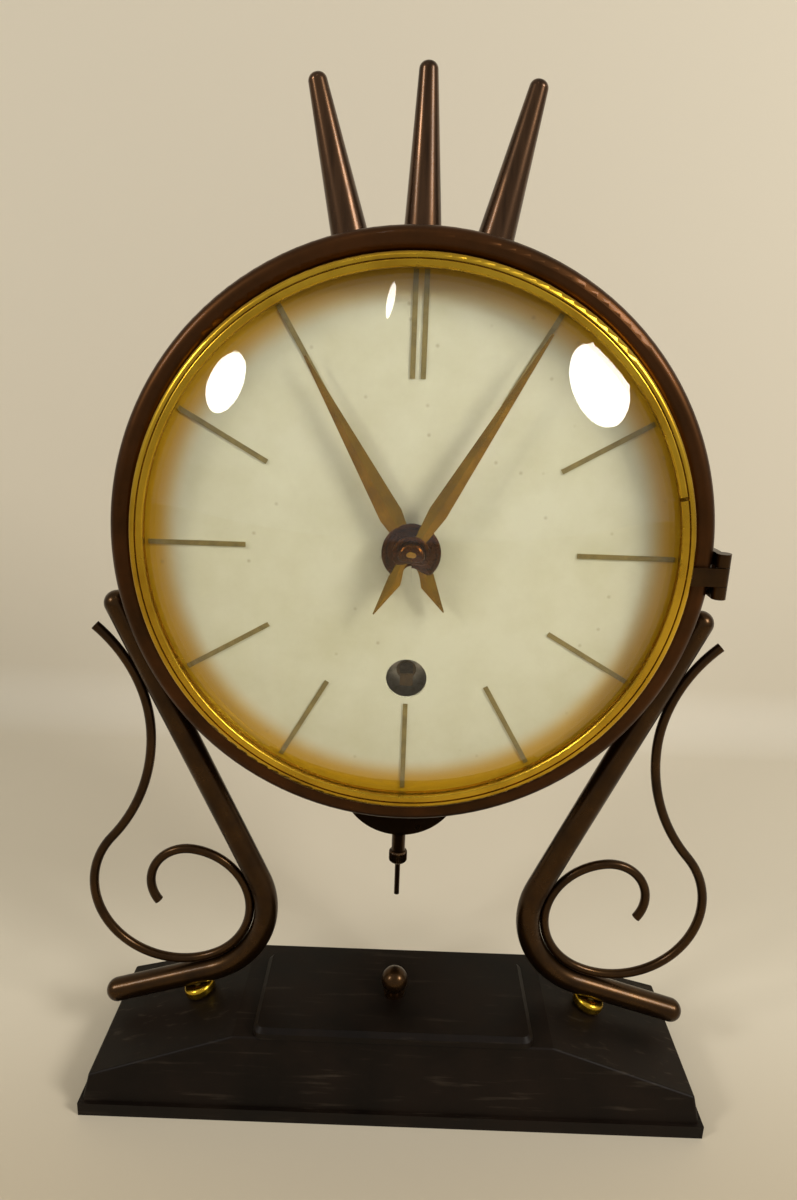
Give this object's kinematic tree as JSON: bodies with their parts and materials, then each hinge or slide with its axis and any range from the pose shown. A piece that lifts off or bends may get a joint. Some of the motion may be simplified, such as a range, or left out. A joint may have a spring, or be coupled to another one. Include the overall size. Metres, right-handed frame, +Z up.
{
  "type": "table clock",
  "caption": "Key-wound pendulum table clock: a round bronze drum with a domed glass and plain line dial, held by bent scroll legs on a black base, with tapered spikes on top.",
  "frame": {"origin": "middle of the base's footprint on the table", "axes": "+Z up, the dial faces -Y, +X is the viewer's right"},
  "size_m": [0.1772, 0.0763, 0.27],
  "materials": {
    "ebonised_base": "satin black with scuffs",
    "felt": "felt",
    "dark_bronze": "dark bronze patina",
    "copper_bronze": "coppery bronze, semi-gloss",
    "brass": "polished",
    "hand_brass": "polished facets",
    "mark_gold": "olive gold",
    "ivory_dial": "aged ivory enamel, satin",
    "clear_glass": "clear",
    "steel": "plain"
  },
  "bodies": {
    "base": {"base_block": "ebonised_base", "felt_feet": "felt", "winding_key": "steel", "right_leg": "dark_bronze", "left_leg": "dark_bronze", "right_scroll": "dark_bronze", "left_scroll": "dark_bronze", "leg_spacers": "brass", "leg_screws": "steel", "case_screws": "steel", "case_drum": "dark_bronze", "back_cover": "brass", "left_spike": "copper_bronze", "centre_spike": "copper_bronze", "right_spike": "copper_bronze", "spike_nuts": "steel", "hinge_case_leaf": "dark_bronze", "hinge_pin": "steel", "hinge_rivets": "steel", "dial_plate": "ivory_dial", "hour_marks": "mark_gold", "front_plate": "brass", "back_plate": "brass", "pillars": "brass", "pillar_nuts": "steel", "movement_posts": "brass", "movement_screws": "steel", "minute_stud": "steel", "click_screw": "steel", "pendulum_cock": "brass", "cock_screws": "steel"},
    "lid": {"key_lid": "ebonised_base", "lid_knob": "dark_bronze"},
    "bezel": {"bezel_ring": "brass", "glass": "clear_glass", "retaining_ring": "brass", "hinge_bezel_leaf": "dark_bronze"},
    "minute": {"centre_wheel": "brass", "cannon_pinion": "brass", "minute_hand": "hand_brass", "hand_nut": "hand_brass"},
    "hour": {"hour_wheel": "brass", "hour_hand": "hand_brass"},
    "motion": {"minute_wheel": "brass"},
    "barrel": {"mainspring_barrel": "brass", "barrel_cap": "brass", "mainspring": "steel"},
    "third": {"third_wheel": "brass"},
    "escape": {"escape_wheel": "brass"},
    "winding": {"winding_arbor": "steel", "ratchet_wheel": "steel"},
    "click_arm": {"click": "steel"},
    "anchor_arm": {"anchor": "steel", "crutch": "steel"},
    "pendulum": {"pendulum_rod": "steel"},
    "bob": {"pendulum_bob": "dark_bronze", "bob_sleeve": "dark_bronze"},
    "nut": {"rating_nut": "dark_bronze"}
  },
  "joints": [
    {"name": "lid_slide", "type": "slide", "parent": "base", "child": "lid", "axis": [0, -1, 0], "range_m": [0, 0.02]},
    {"name": "bezel_hinge", "type": "hinge", "parent": "base", "child": "bezel", "pos_m": [0.076, -0.0056, 0.1547], "axis": [0, 0, 1], "range_deg": [0, 110]},
    {"name": "minute_turn", "type": "hinge", "parent": "base", "child": "minute", "pos_m": [0, 0.012, 0.158], "axis": [0, 1, 0], "continuous": true},
    {"name": "hour_turn", "type": "hinge", "parent": "base", "child": "hour", "pos_m": [0, 0, 0.158], "axis": [0, 1, 0], "continuous": true},
    {"name": "minute_wheel_turn", "type": "hinge", "parent": "base", "child": "motion", "pos_m": [0.01273, 0.003, 0.17073], "axis": [0, 1, 0], "continuous": true},
    {"name": "barrel_turn", "type": "hinge", "parent": "base", "child": "barrel", "pos_m": [0, 0.012, 0.1243], "axis": [0, 1, 0], "continuous": true},
    {"name": "third_turn", "type": "hinge", "parent": "base", "child": "third", "pos_m": [-0.02182, 0.012, 0.1706], "axis": [0, 1, 0], "continuous": true},
    {"name": "escape_turn", "type": "hinge", "parent": "base", "child": "escape", "pos_m": [0, 0.012, 0.18379], "axis": [0, 1, 0], "continuous": true},
    {"name": "winding_turn", "type": "hinge", "parent": "base", "child": "winding", "pos_m": [0, 0.012, 0.1243], "axis": [0, 1, 0], "continuous": true},
    {"name": "click_lift", "type": "hinge", "parent": "base", "child": "click_arm", "pos_m": [0.0165, 0.0044, 0.136], "axis": [0, 1, 0], "range_deg": [0, 12], "stiffness_Nm_per_rad": 0.002},
    {"name": "anchor_swing", "type": "hinge", "parent": "base", "child": "anchor_arm", "pos_m": [0, 0.019, 0.19979], "axis": [0, 1, 0], "range_deg": [-3, 3]},
    {"name": "pendulum_swing", "type": "hinge", "parent": "base", "child": "pendulum", "pos_m": [0, 0.047, 0.19979], "axis": [0, 1, 0], "range_deg": [-3, 3]},
    {"name": "bob_slide", "type": "slide", "parent": "pendulum", "child": "bob", "axis": [0, 0, 1], "range_m": [-0.001, 0.001]},
    {"name": "rating_nut_turn", "type": "hinge", "parent": "bob", "child": "nut", "pos_m": [0, 0.047, 0.0393], "axis": [0, 0, 1], "range_deg": [-720, 720]}
  ],
  "couplings": [
    {"joint": "hour_turn", "follows": "minute_turn", "ratio": 0.083333},
    {"joint": "minute_wheel_turn", "follows": "minute_turn", "ratio": -0.33333},
    {"joint": "barrel_turn", "follows": "minute_turn", "ratio": -0.16667},
    {"joint": "third_turn", "follows": "minute_turn", "ratio": -5},
    {"joint": "escape_turn", "follows": "minute_turn", "ratio": 29},
    {"joint": "anchor_swing", "follows": "pendulum_swing", "ratio": 1},
    {"joint": "rating_nut_turn", "follows": "bob_slide", "rad_per_m": 12566}
  ]
}
